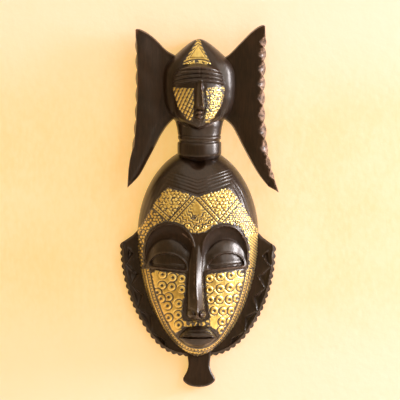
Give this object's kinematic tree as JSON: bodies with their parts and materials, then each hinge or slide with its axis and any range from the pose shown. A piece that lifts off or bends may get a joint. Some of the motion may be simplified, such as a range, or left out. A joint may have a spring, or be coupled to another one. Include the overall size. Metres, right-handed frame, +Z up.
{
  "type": "wall mask",
  "caption": "Dark carved wood mask for a wall, a long face under a small winged head, with embossed brass sheets over brow and cheeks.",
  "frame": {"origin": "mouth of the nail hole, on the flat back of the neck, where the wall is", "axes": "+Z up the wall, -Y the way the face looks, +Y into the wall, +X to the right in the front view"},
  "size_m": [0.2196, 0.089, 0.4995],
  "materials": {
    "dark_wood": "satin brown-black paint over carved wood, rubbed brown on the edges",
    "brass_sheet": "thin embossed sheet, bright on the raised work and blackened in the recesses"
  },
  "bodies": {
    "root": {"carved_wood": "dark_wood", "forehead_plate": "brass_sheet", "left_cheek_plate": "brass_sheet", "right_cheek_plate": "brass_sheet", "left_border_strip": "brass_sheet", "right_border_strip": "brass_sheet", "crest_plate": "brass_sheet", "small_left_cheek_plate": "brass_sheet", "small_right_cheek_plate": "brass_sheet"}
  },
  "joints": []
}
